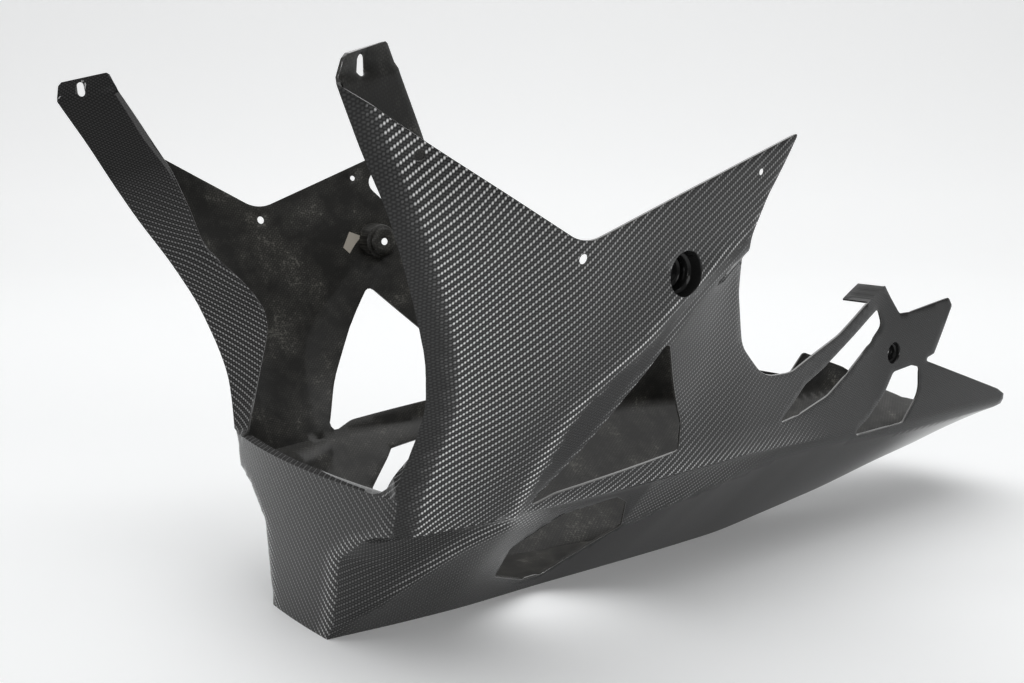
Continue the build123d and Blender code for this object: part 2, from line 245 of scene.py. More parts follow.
chineZ = faired(underside["chine"], xLow, xHigh, 8)[0]
keelY, keelZ = faired(underside["keel"], xLow, xHigh, underside["keelSoft"])
keelZ = np.maximum(keelZ, 0)
breakY, breakZ = faired(underside["breakLine"], xLow, xHigh, underside["soft"])
shelfY, shelfZ = faired(underside["shelf"], xLow, xHigh, underside["soft"])
hollowY, hollowZ = faired(underside["hollow"], xLow, xHigh, underside["soft"])
behind = stations < underside["hollow"][-1][0]
hollowY = np.where(behind, (breakY + shelfY) / 2, hollowY)
hollowZ = np.where(behind, (breakZ + shelfZ) / 2, hollowZ)
breakZ = np.maximum(breakZ, keelZ + 3)
hollowZ = np.maximum(hollowZ, breakZ + 0.8)
shelfZ = np.maximum(shelfZ, hollowZ + 0.8)
chineZ = np.maximum(chineZ, shelfZ + 1.5)


def atX(values, x):
    return np.interp(x, stations, values)


def halfWidth(x, z):
    # half-width of the whole side, from the keel's edge up to the flank's top
    x, z = np.asarray(x, float), np.asarray(z, float)
    top = atX(chineZ, x)
    knots = [(atX(keelY, x), atX(keelZ, x)), (atX(breakY, x), atX(breakZ, x)), (atX(hollowY, x), atX(hollowZ, x)),
             (atX(shelfY, x), atX(shelfZ, x)), (lookUp(widths, np.minimum(x, -11), top), top)]
    y = knots[0][0] + 0 * z
    for (y0, z0), (y1, z1) in zip(knots, knots[1:]):
        y = np.where(z >= z0, y0 + np.clip((z - z0) / (z1 - z0), 0, 1) * (y1 - y0), y)
    return np.where(z >= top, lookUp(widths, x, z), y)


def chinX(y):
    return np.sqrt(chin["radius"] ** 2 - np.asarray(y, float) ** 2) - chin["radius"]


def tailX(y):
    (xa, ya), (xb, yb) = cuts["tailEnd"]
    return xa + (np.clip(y, yb, ya) - ya) / (yb - ya) * (xb - xa)


# Outlines, seen from the side


def rounded(corners, closed=True):
    # an outline with an arc in each corner
    points = []
    count = len(corners)
    for n, (x, z, radius) in enumerate(corners):
        here = Vector((x, z))
        if not closed and n in (0, count - 1):
            points.append((x, z))
            continue
        back = Vector(corners[n - 1][:2]) - here
        ahead = Vector(corners[(n + 1) % count][:2]) - here
        angle = back.angle(ahead)
        if math.pi - angle < 0.02:
            points.append((x, z))
            continue
        reach = radius / math.tan(angle / 2)
        reach = min(reach, 0.49 * back.length, 0.49 * ahead.length)
        radius = reach * math.tan(angle / 2)
        start, end = here + back.normalized() * reach, here + ahead.normalized() * reach
        middle = here + (back.normalized() + ahead.normalized()).normalized() * (radius / math.sin(angle / 2))
        turn = math.pi - angle
        steps = max(3, int(turn * radius / 2.5))
        first = start - middle
        sign = 1 if (start - middle).cross(end - middle) > 0 else -1
        for step in range(steps + 1):
            a = sign * turn * step / steps
            points.append((middle.x + first.x * math.cos(a) - first.y * math.sin(a),
                           middle.y + first.x * math.sin(a) + first.y * math.cos(a)))
    return points


def divided(points, step, closed=False):
    # the same line with no stretch longer than step
    ring = points + points[:1] if closed else points
    out = []
    for (xa, za), (xb, zb) in zip(ring, ring[1:]):
        count = max(1, math.ceil(math.hypot(xb - xa, zb - za) / step))
        out += [(xa + (xb - xa) * n / count, za + (zb - za) * n / count) for n in range(count)]
    return out if closed else out + [ring[-1]]


def circle(x, z, radius, count):
    return [(x + radius * math.cos(2 * math.pi * n / count), z + radius * math.sin(2 * math.pi * n / count))
            for n in range(count)]


def inside(points, loop):
    points = np.asarray(points, float)
    hit = np.zeros(len(points), bool)
    for (xa, za), (xb, zb) in zip(loop, loop[1:] + loop[:1]):
        if za == zb:
            continue
        spans = (za > points[:, 1]) != (zb > points[:, 1])
        cross = xa + (points[:, 1] - za) * (xb - xa) / (zb - za)
        hit ^= spans & (points[:, 0] < cross)
    return hit


def besides(line, gap):
    # the line moved to both of its sides
    points = np.array(line, float)
    run = np.gradient(points, axis=0)
    run /= np.linalg.norm(run, axis=1)[:, None]
    off = np.stack([-run[:, 1], run[:, 0]], axis=1) * gap
    return [[tuple(p) for p in points + off], [tuple(p) for p in points - off]]


def sheetPoints(outer, openings, creases):
    # triangles over an outline less its openings, with edges along the creases
    coords, edges = [], []
    for loop in [outer] + openings:
        start, count = len(coords), len(loop)
        coords += loop
        edges += [(start + n, start + (n + 1) % count) for n in range(count)]
    for line in creases:
        keep = inside(line, outer)
        for opening in openings:
            keep &= ~inside(line, opening)
        fixed = np.array(coords[:len(outer) + sum(map(len, openings))])
        for n, point in enumerate(line):
            if keep[n] and np.min(np.hypot(*(fixed - point).T)) < 1.0:
                keep[n] = False
        for n in range(len(line) - 1):
            if keep[n] and keep[n + 1]:
                coords += [line[n], line[n + 1]]
                edges.append((len(coords) - 2, len(coords) - 1))
    fixed = np.array(coords)
    step = laminate["pointStep"]
    low, high = fixed.min(0), fixed.max(0)
    lattice = []
    for row, z in enumerate(np.arange(low[1] + step / 2, high[1], step * 0.87)):
        xs = np.arange(low[0] + step * (0.25 + 0.5 * (row % 2)), high[0], step)
        lattice.append(np.stack([xs, np.full(xs.size, z)], axis=1))
    lattice = np.concatenate(lattice)
    keep = inside(lattice, outer)
    for opening in openings:
        keep &= ~inside(lattice, opening)
    lattice = lattice[keep]
    gap = np.array([np.min(np.hypot(*(fixed - point).T)) for point in lattice])
    lattice = lattice[gap > 0.5 * step]
    coords = [Vector(p) for p in coords] + [Vector(p) for p in lattice]
    points, _, faces = delaunay_2d_cdt(coords, edges, [], 0, 1e-4)[:3]
    points = np.array([tuple(p) for p in points])
    corners = points[np.array(faces)]
    a, b = corners[:, 1] - corners[:, 0], corners[:, 2] - corners[:, 0]
    middles = corners.mean(1)
    keep = inside(middles, outer) & (np.abs(a[:, 0] * b[:, 1] - a[:, 1] * b[:, 0]) > 0.04)
    for opening in openings:
        keep &= ~inside(middles, opening)
    return points, [face for face, ok in zip(faces, keep) if ok]


# The skin: one mesh of sheets joined along their edges


class Skin:
    # points, faces, cloth coordinates and painted sheen of one sheet after another, all joined at the end
    def __init__(self):
        self.points, self.faces, self.cloth, self.paintedSheen = [], [], [], []

    def add(self, points, faces, cloth, paintedSheen=0.15):
        start = len(self.points)
        self.paintedSheen += list(np.broadcast_to(paintedSheen, len(points)).astype(float))
        self.points += [tuple(map(float, p)) for p in points]
        self.cloth += [tuple(map(float, c)) for c in cloth]
        self.faces += [tuple(start + n for n in face) for face in faces]

    def grid(self, rows, cloth, paintedSheen=0.15):
        count = len(rows[0])
        faces = [(r * count + c, r * count + c + 1, (r + 1) * count + c + 1, (r + 1) * count + c)
                 for r in range(len(rows) - 1) for c in range(count - 1)]
        self.add([p for row in rows for p in row], faces, [c for row in cloth for c in row], paintedSheen)


def drape(values):
    # the cloth bridges small steps of the skin
    spread = 14
    margin = 3 * spread
    bell = np.exp(-0.5 * (np.arange(-margin, margin + 1) / spread) ** 2)
    return np.convolve(np.pad(values, margin, mode="edge"), bell / bell.sum(), "valid")


def clothTables():
    # lengths along the skin from one station and one level, for the weave
    zs = np.arange(0, zHigh + 1)
    grid = halfWidth(stations[None, :] + 0 * zs[:, None], zs[:, None] + 0 * stations[None, :])
    for axis in (0, 1):
        grid = np.apply_along_axis(drape, axis, grid)
    alongX = np.cumsum(np.sqrt(1 + np.gradient(grid, axis=1) ** 2), axis=1)
    alongZ = np.cumsum(np.sqrt(1 + np.clip(np.gradient(grid, axis=0), -3, 3) ** 2), axis=0)
    alongX -= alongX[:, [-100 - xLow]]
    alongZ -= alongZ[[200], :]
    return alongX, alongZ


clothX, clothZ = clothTables()


def clothAt(x, z):
    x = np.clip(np.asarray(x, float) - xLow, 0, stations.size - 1.001)
    z = np.clip(np.asarray(z, float), 0, zHigh - 0.001)
    i, j = x.astype(int), z.astype(int)
    u, v = x - i, z - j
    out = []
    for table in (clothX, clothZ):
        out.append((1 - v) * ((1 - u) * table[j, i] + u * table[j, i + 1])
                   + v * ((1 - u) * table[j + 1, i] + u * table[j + 1, i + 1]))
    return np.stack(out, axis=-1)


def cornerLine():
    # where the side meets the chin, up to the lip
    zs = np.concatenate([[0], np.arange(2.6, chin["lip"], laminate["edgeStep"]), [chin["lip"]]])
    xs = np.zeros(zs.size)
    for _ in range(30):
        xs = chinX(halfWidth(np.minimum(xs, 4), zs))
    return xs, halfWidth(xs, zs), zs


def tipHeight(start):
    # height of the front tip: where the top edge meets the leading edge; start is not used, the edge's aim is written
    # out in numbers
    z = 391.0
    for _ in range(50):
        x = np.interp(z, levels, flankLines[0][0])
        z = 297 + (x + 86) * (420 - 297) / (140 + 86)
    return float(z)


cornerX, cornerY, cornerZ = cornerLine()
tipZ = tipHeight(cuts["leftEdge"][0])
edgeZ = np.append(np.arange(chin["lip"] + 3, tipZ - 2, laminate["edgeStep"]), tipZ)
edgeX = np.interp(edgeZ, levels, flankLines[0][0])
edgeY = np.interp(edgeZ, levels, flankLines[0][1])
keelXs = {}


def sideOutline(side):
    outline = list(zip(cornerX, cornerZ)) + list(zip(edgeX, edgeZ))
    edge = cuts["leftEdge"] if side > 0 else cuts["rightEdge"]
    top = rounded([(edgeX[-1], edgeZ[-1], 0)] + edge, closed=False)
    top = divided(top, laminate["edgeStep"])[1:]
    top = [p for p in top if p[0] > tailX(side * 75) + 0.5]
    outline += top
    z = top[-1][1]
    low = float(atX(keelZ, tailX(side * 22)))
    ends = []
    for level in np.linspace(z, low, 8)[1:]:
        y = 22.0 if level == low else float(halfWidth(-765, level))
        ends.append((float(tailX(side * y)), float(level)))
    outline += ends
    xs = np.linspace(ends[-1][0], cornerX[0], underside["keelColumns"] + 1)
    keelXs[side] = xs
    outline += [(x, float(atX(keelZ, x))) for x in xs[1:-1]]
    return outline


def foldLines():
    lines = []
    zs = np.arange(100, 386, 3.5)
    lines += besides([(np.interp(z, levels, flankLines[1][0]), z) for z in zs], laminate["fold"])
    zs = np.arange(100, 292, 3.5)
    lines += besides([(np.interp(z, levels, flankLines[3][0]), z) for z in zs], laminate["fold"])
    zs = np.arange(104, 280, 3.5)
    lines += besides([(np.interp(z, levels, flankLines[4][0]), z) for z in zs], laminate["fold"])
    zs = np.arange(104, 226, 3.5)
    lines.append([(np.interp(z, levels, flankLines[5][0]), z) for z in zs])
    xs = np.arange(-4, -756, -4.0)
    lines += besides([(x, float(atX(chineZ, x))) for x in xs], laminate["fold"])
    lines.append([(x, float(atX(breakZ, x))) for x in xs])
    lines.append([(x, float(atX(keelZ, x)) + laminate["fold"]) for x in xs])
    return lines


def cupRings(x, z, bore, floor, side):
    # rings from the cup's mouth down its wall to the screw hole
    count = 32
    mouth = circle(x, z, bore / 2 + 1, count)
    mouthY = halfWidth([p[0] for p in mouth], [p[1] for p in mouth])
    rings = [[(px, side * py, pz) for (px, pz), py in zip(mouth, mouthY)]]
    lip = circle(x, z, bore / 2, count)
    rings.append([(px, side * (py - 1.2), pz) for (px, pz), py in zip(lip, mouthY)])
    deep = float(mouthY.min()) - floor
    for share, y in ((1, floor + 0.55 * deep), (0.97, floor + 0.5 * deep), (0.84, floor + 0.46 * deep),
                     (0.81, floor + 0.42 * deep), (0.78, floor + 0.6), (0.73, floor), (0.5, floor)):
        rings.append([(px, side * y, pz) for px, pz in circle(x, z, bore / 2 * share, count)])
    for radius, y in ((holes["cupBore"] / 2, floor),):
        rings.append([(px, side * y, pz) for px, pz in circle(x, z, radius, count)])
    return rings


def addSide(skin, side):
    name = "left" if side > 0 else "right"
    openings = [divided(rounded(cuts[key]), laminate["edgeStep"], closed=True)
                for key in ("window", "vent") + (("armSlot", "tailHole") if side > 0 else ())]
    openings += [circle(x, z, bore / 2, 16) for x, z, bore in holes[name]]
    cups = holes[name + "Cups"]
    openings += [circle(x, z, bore / 2 + 1, 32) for x, z, bore, _ in cups]
    points, faces = sheetPoints(sideOutline(side), openings, foldLines())
    xs, zs = points.T
    ys = halfWidth(xs, zs)
    # painted sheen below the chine: a painted highlight streak just above the break line, brighter painted weave on the
    # ramp behind the vent, and a painted highlight along the flank just above the chine
    over = zs - atX(breakZ, xs)
    streak = np.exp(-0.5 * ((over - 4) / 5) ** 2) * np.clip((-25 - xs) / 40, 0, 1) * np.clip((140 + xs) / 30, 0, 1)
    ramp = 0.24 * (over > 0) * (xs < -235) * np.clip((390 + xs) / 80, 0, 1)
    low = underside["paintedSheen"] * np.clip((230 + xs) / 80, 0.3, 1) + ramp + 0.6 * streak
    above = zs - atX(chineZ, xs)
    sill = np.clip((-105 - xs) / 10, 0, 1) * np.clip((460 + xs) / 60, 0, 1)
    sill = sill * (0.32 * np.exp(-0.5 * ((above - 3) / 3) ** 2) + 0.12 * np.clip((26 - above) / 10, 0, 1))
    shine = np.where(above > 0, lookUp(paintedSheens, xs, zs) + sill, low)
    skin.add(np.stack([xs, side * ys, zs], axis=1), faces, clothAt(xs, zs), shine)
    for x, z, bore, floor in cups:
        rings = cupRings(x, z, bore, floor, side)
        rings = [ring + ring[:1] for ring in rings]
        cloth = [[(p[0], p[2]) for p in ring] for ring in rings]
        skin.grid(rings, cloth, 0.0)


def addKeel(skin):
    left, right = keelXs[1][::-1], keelXs[-1][::-1]
    rows, cloth = [], []
    shares = np.concatenate([[-1, -0.94], np.linspace(-0.8, 0.8, underside["keelRows"]), [0.94, 1]])
    for n, (xl, xr) in enumerate(zip(left, right)):
        row = []
        for share in shares:
            x = xr + (xl - xr) * (share + 1) / 2
            y = share * float(atX(keelY, x))
            if n == 0:
                x = float(chinX(y))
            row.append((x, y, float(atX(keelZ, x))))
        rows.append(row)
        cloth.append([(p[0], p[1]) for p in row])
    skin.grid(rows, cloth)
    return rows[0]


def addChin(skin, foot):
    ys = [p[1] for p in foot]
    bottom = [(y, 0.0) for y in ys]
    bottom[0], bottom[-1] = (-cornerY[0], 0.0), (cornerY[0], 0.0)
    rightUp = list(zip(cornerY, cornerZ))[1:]
    leftUp = [(-y, z) for y, z in rightUp][::-1]
    end, half = float(cornerY[-1]), chin["flangeHalf"]
    outerYs = list(end + (half - end) * bandShares())
    innerYs = list(np.linspace(half, -half, 56))
    lip = outerYs[1:] + innerYs[1:] + [-y for y in outerYs[::-1]][1:]
    outline = bottom + rightUp + [(float(y), chin["lip"]) for y in lip[:-1]] + leftUp
    creases = [[(float(y), chin["lip"] - laminate["fold"]) for y in np.linspace(-end + 3, end - 3, 64)]]
    creases += besides([(y - 0.2, z) for y, z in zip(cornerY[1:-6], cornerZ[1:-6])], laminate["fold"])[0:1]
    points, faces = sheetPoints(outline, [], creases)
    # a painted highlight stripe on the chin beside each upright corner
    fromCorner = [np.interp(z, cornerZ, cornerY) - abs(y) for y, z in points]
    stripe = np.exp(-0.5 * ((np.array(fromCorner) - 8) / 5) ** 2) * np.clip((110 - points[:, 1]) / 30, 0, 1)
    shine = chin["paintedSheen"] + chin["cornerPaintedSheen"] * stripe
    skin.add([(float(chinX(y)), y, z) for y, z in points], faces, [(200 + y, z) for y, z in points], shine)
    rows = []
    for back, drop in ((0, 0), (laminate["fold"], 0), (4, 0), (chin["flange"], 0)):
        rows.append([(float(chinX(y)) - back, y, chin["lip"] - drop) for y in innerYs])
    skin.grid(rows, [[(200 + y, chin["lip"] + p) for y in innerYs] for p in (0, 1.3, 4, 9)])


def bandShares():
    width = 26.0
    inner = np.linspace(0.12, 1, band["columns"])
    return np.concatenate([[0, laminate["fold"] / width], inner])


def addBand(skin, side):
    frees = faired([(lead[2],) + free for lead, free in band["pairs"]], 110, 400, 5)
    keys = np.arange(110, 401)
    shares = bandShares()
    end, half = float(cornerY[-1]), chin["flangeHalf"]
    rows = [[(float(chinX(y)), y, chin["lip"]) for y in end + (half - end) * shares]]
    for x, y, z in zip(edgeX, edgeY, edgeZ):
        free = [np.interp(z, keys, column) for column in frees]
        rows.append([tuple(np.array((x, y, z)) * (1 - s) + np.array(free) * s) for s in shares])
    cloth, travel = [], 0.0
    for n, row in enumerate(rows):
        if n:
            travel += math.dist(row[0], rows[n - 1][0])
        cloth.append([(400 + math.dist(row[0], p), travel) for p in row])
    placed = [[(x, side * y, z) for x, y, z in row] for row in rows]
    skin.grid(placed, cloth, np.interp([row[0][2] for row in rows for _ in row], *zip(*band["paintedSheen"])))
    addTab(skin, side, rows[-1], travel)


def addTab(skin, side, base, travel):
    # the slotted tab above a band, a skin's depth inboard of it
    a, b = Vector(base[0]), Vector(base[-1])
    c, d = Vector(band["tabTop"][0]), Vector(band["tabTop"][1])
    width, height = (b - a).length, ((c - a).length + (d - b).length) / 2
    bottom = [((Vector(p) - a).length, 0.0) for p in base]
    outline = bottom + [p for p in divided([(width, 0), (width, height - 2), (width - 2, height), (3, height),
                                             (0, height - 3), (0, 0)], 3)[1:-1]]
    x, z, length, bore = band["slot"]
    u = (x - a.x) / (b.x - a.x) * width
    v = (z - (a.z + (b.z - a.z) * u / width)) / ((c.z + d.z - a.z - b.z) / 2) * height
    run = (length - bore) / 2
    slot = [(u + bore / 2 * math.cos(t), v + math.copysign(run, math.sin(t)) + bore / 2 * math.sin(t))
            for t in np.linspace(0.01, 2 * math.pi - 0.01, 28)]
    points, faces = sheetPoints(outline, [slot], [])
    inward = (b - a).cross(c - a).normalized()
    if inward.y > 0:
        inward = -inward
    out = []
    for u, v in points:
        s, t = u / width, v / height
        p = a * (1 - s) * (1 - t) + b * s * (1 - t) + c * (1 - s) * t + d * s * t
        deep = min(1, max(0, v / 3.0))
        p += inward * band["joggle"] * deep * deep * (3 - 2 * deep)
        out.append((p.x, side * p.y, p.z))
    skin.add(out, faces, [(400 + u, travel + v) for u, v in points], 0.03)


def buildSkin():
    skin = Skin()
    for side in (1, -1):
        addSide(skin, side)
        addBand(skin, side)
        print("side sheet and return band", side)
    foot = addKeel(skin)
    addChin(skin, foot)
    print("keel and chin")
    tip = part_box(laminate["node"])[1].x * 1000 - laminate["tipAheadOfChin"]
    mesh = bpy.data.meshes.new("bellyPanSkin")
    place = [((x + tip) / 1000, y / 1000, z / 1000) for x, y, z in skin.points]
    mesh.from_pydata(place, [], skin.faces)
    weave = mesh.uv_layers.new(name="cloth")
    corners = np.zeros(len(mesh.loops), int)
    mesh.loops.foreach_get("vertex_index", corners)
    weave.data.foreach_set("uv", (np.array(skin.cloth)[corners] / 1000).astype(np.float32).ravel())
    # painted sheen per corner: how brightly the tow crowns are painted, a painted highlight that varies over the skin
    paintedSheen = mesh.attributes.new("paintedSheen", "FLOAT", "CORNER")
    paintedSheen.data.foreach_set("value", np.array(skin.paintedSheen)[corners].astype(np.float32))
    piece = bpy.data.objects.new("bellyPanSkin", mesh)
    bpy.context.collection.objects.link(piece)
    shape = bmesh.new()
    shape.from_mesh(mesh)
    bmesh.ops.remove_doubles(shape, verts=shape.verts, dist=0.0006)
    bmesh.ops.recalc_face_normals(shape, faces=shape.faces)
    shape.faces.ensure_lookup_table()
    outwards = sum(f.normal.y * f.calc_center_median().y for f in shape.faces)
    if outwards < 0:
        bmesh.ops.reverse_faces(shape, faces=shape.faces)
    roundCorners(shape, tip)
    loose = [v for v in shape.verts if not v.link_faces]
    bmesh.ops.delete(shape, geom=loose, context="VERTS")
    addArmTab(shape, tip)
    shape.to_mesh(mesh)
    open_ = sum(1 for e in shape.edges if e.is_boundary)
    knots = sum(1 for e in shape.edges if len(e.link_faces) > 2)
    print("skin", len(shape.verts), "points", len(shape.faces), "faces", open_, "rim edges", knots, "shared by three")
    shape.free()
    return piece


def roundCorners(shape, tip):
    # the chin's upright corners, bent to a smooth turn
    for vert in shape.verts:
        x, y, z = vert.co * 1000
        if not 0.5 < z < chin["lip"] + 0.5:
            continue
        x -= tip
        side = math.copysign(1, y)
        reach = np.interp(z, *zip(*chin["ease"]))
        cx, cy = np.interp(z, cornerZ, cornerX), np.interp(z, cornerZ, cornerY)
        onChin = abs(x - chinX(y)) < 0.2 and abs(y) < cy
        onSide = abs(abs(y) - halfWidth(x, z)) < 0.5
        away = cy - abs(y) if onChin else cx - x
        if not (onChin or onSide):
            continue
        if away > reach or away < -1 or reach < 0.5:
            continue
        share = 0.5 * (1 + away / reach) if onChin else 0.5 * (1 - away / reach)
        start = Vector((cx - reach, halfWidth(cx - reach, z)))
        end = Vector((chinX(cy - reach), cy - reach))
        bend = start * (1 - share) ** 2 + Vector((cx, cy)) * 2 * share * (1 - share) + end * share ** 2
        vert.co.x, vert.co.y = (bend.x + tip) / 1000, side * bend.y / 1000


def addArmTab(shape, tip):
    # the flat tab turned inboard at the head of the left arm
    edges = []
    for edge in shape.edges:
        if not edge.is_boundary:
            continue
        a, b = (v.co * 1000 for v in edge.verts)
        if all(armTab["rear"] < p.x - tip < armTab["front"] and p.z > armTab["low"] and p.y > 0 for p in (a, b)):
            edges.append(edge)
    reach = [0, laminate["fold"], 5, 12, 20, armTab["width"]]
    for last, step in zip(reach, reach[1:]):
        made = bmesh.ops.extrude_edge_only(shape, edges=edges)["geom"]
        edges = [g for g in made if isinstance(g, bmesh.types.BMEdge)]
        for vert in [g for g in made if isinstance(g, bmesh.types.BMVert)]:
            vert.co.y -= (step - last) / 1000
    print("arm tab", len(edges), "edges")


def finishSkin(piece):
    bpy.ops.object.select_all(action="DESELECT")
    piece.select_set(True)
    bpy.context.view_layer.objects.active = piece
    wall = piece.modifiers.new("wall", "SOLIDIFY")
    wall.thickness = laminate["thickness"] / 1000
    wall.offset = -1
    wall.use_even_offset = True
    wall.thickness_clamp = 1.0
    wall.material_offset = 1
    wall.material_offset_rim = 2
    bpy.ops.object.modifier_apply(modifier=wall.name)
    shape = bmesh.new()
    shape.from_mesh(piece.data)
    weight = shape.edges.layers.float.new("bevel_weight_edge")
    for edge in shape.edges:
        onRim = [face.material_index == 2 for face in edge.link_faces]
        if len(onRim) == 2 and any(onRim) and not all(onRim):
            edge[weight] = 1.0
    shape.to_mesh(piece.data)
    shape.free()
    rim = piece.modifiers.new("rim", "BEVEL")
    rim.width = laminate["rimBevel"] / 1000
    rim.segments = 2
    rim.limit_method = "WEIGHT"
    rim.use_clamp_overlap = False
    rim.material = 2
    bpy.ops.object.modifier_apply(modifier=rim.name)
    low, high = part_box(laminate["node"])
    for vert in piece.data.vertices:
        vert.co = [min(max(c, a), b) for c, a, b in zip(vert.co, low, high)]
    bpy.ops.object.shade_smooth_by_angle(angle=math.radians(42))
    print("finished skin", len(piece.data.polygons), "faces")


piece = buildSkin()


# Materials


weave = {
    "tow": 1.7,             # tow pitch, mm
    "lean": -4.5,           # direction of the level tows, degrees up towards the rear
    "rise": 86.5,           # direction of the rising tows
    "dark": 0.012,          # colour between the crowns and on them
    # painted highlights on the crowns of the level and of the rising tows
    "levelCrownHighlight": 0.05,
    "risingCrownHighlight": 0.95,
}


rough = {"dark": 0.007, "print": 0.05, "pale": 0.11, "warmth": 0.86}


def newMaterial(name):
    material = bpy.data.materials.new(name)
    material.use_nodes = True
    tree = material.node_tree
    return material, tree, tree.nodes["Principled BSDF"]


def wire(tree, kind, inputs=(), **settings):
    # one node, its settings and its inputs: sockets of other nodes or plain values
    node = tree.nodes.new(kind)
    for key, value in settings.items():
        setattr(node, key, value)
    for n, value in enumerate(inputs):
        if isinstance(value, bpy.types.NodeSocket):
            tree.links.new(value, node.inputs[n])
        elif value is not None:
            node.inputs[n].default_value = value
    return node


def maths(tree, operation, *inputs):
    return wire(tree, "ShaderNodeMath", inputs, operation=operation).outputs[0]


def weavePattern(tree):
    # 2x2 twill over the cloth's own coordinates: the crowns of the level and of the rising tows, each crown carrying a
    # painted highlight scaled by the painted sheen
    uv = wire(tree, "ShaderNodeUVMap", uv_map="cloth").outputs[0]
    pitch = weave["tow"] / 1000
    lean, rise = math.radians(weave["lean"]), math.radians(weave["rise"])
    level = Vector((-math.cos(lean), math.sin(lean))) * pitch
    rising = Vector((-math.cos(rise), math.sin(rise))) * pitch
    det = level.x * rising.y - level.y * rising.x
    across = wire(tree, "ShaderNodeVectorMath", [uv, (rising.y / det, -rising.x / det, 0)], operation="DOT_PRODUCT")
    up = wire(tree, "ShaderNodeVectorMath", [uv, (-level.y / det, level.x / det, 0)], operation="DOT_PRODUCT")
    across, up = across.outputs["Value"], up.outputs["Value"]
    column, row = maths(tree, "FLOOR", across), maths(tree, "FLOOR", up)
    alongRise = maths(tree, "FLOORED_MODULO", maths(tree, "SUBTRACT", up, column), 4.0)
    alongLevel = maths(tree, "FLOORED_MODULO", maths(tree, "SUBTRACT", maths(tree, "SUBTRACT", across, row), 1.0), 4.0)
    place = maths(tree, "FLOORED_MODULO", maths(tree, "SUBTRACT", row, column), 4.0)
    riseOver = maths(tree, "LESS_THAN", place, 1.5)

    def crown(along, over, sharp):
        length = maths(tree, "SINE", maths(tree, "MULTIPLY", along, math.pi / 2))
        side = maths(tree, "SINE", maths(tree, "MULTIPLY", maths(tree, "FRACT", over), math.pi))
        length = maths(tree, "MAXIMUM", length, 0.0)
        return maths(tree, "MULTIPLY", maths(tree, "POWER", length, sharp), maths(tree, "POWER", side, 0.6))

    def top(rising, level):
        return maths(tree, "ADD", maths(tree, "MULTIPLY", riseOver, rising),
                     maths(tree, "MULTIPLY", maths(tree, "SUBTRACT", 1.0, riseOver), level))

    height = top(crown(alongRise, across, 0.6), crown(alongLevel, up, 0.6))
    glow = attribute(tree, "paintedSheen")
    # painted highlight on each rising tow's crown, scaled by the painted sheen; the level crowns get a faint one
    paintedGlint = maths(tree, "MULTIPLY", maths(tree, "MULTIPLY", crown(alongRise, across, 2.5), weave["risingCrownHighlight"]), glow)
    shown = wire(tree, "ShaderNodeMapRange", [glow, 0.0, 0.05, 0.0, weave["levelCrownHighlight"]]).outputs[0]
    bright = top(paintedGlint, maths(tree, "MULTIPLY", crown(alongLevel, up, 1.5), shown))
    return maths(tree, "ADD", bright, weave["dark"]), height


def attribute(tree, name):
    return wire(tree, "ShaderNodeAttribute", attribute_name=name).outputs["Fac"]


def carbonGloss():
    material, tree, shader = newMaterial("carbonGloss")
    bright, height = weavePattern(tree)
    colour = wire(tree, "ShaderNodeCombineColor", [bright, bright, bright])
    tree.links.new(colour.outputs[0], shader.inputs["Base Color"])
    shader.inputs["Roughness"].default_value = 0.36
    shader.inputs["Specular IOR Level"].default_value = 0.0
    shader.inputs["Coat Weight"].default_value = 0.7
    shader.inputs["Coat Roughness"].default_value = 0.02
    shader.inputs["Coat IOR"].default_value = 1.42
    bump = wire(tree, "ShaderNodeBump")
    bump.inputs["Strength"].default_value = 0.6
    bump.inputs["Distance"].default_value = 0.00025
    tree.links.new(height, bump.inputs["Height"])
    tree.links.new(bump.outputs[0], shader.inputs["Normal"])
    return material


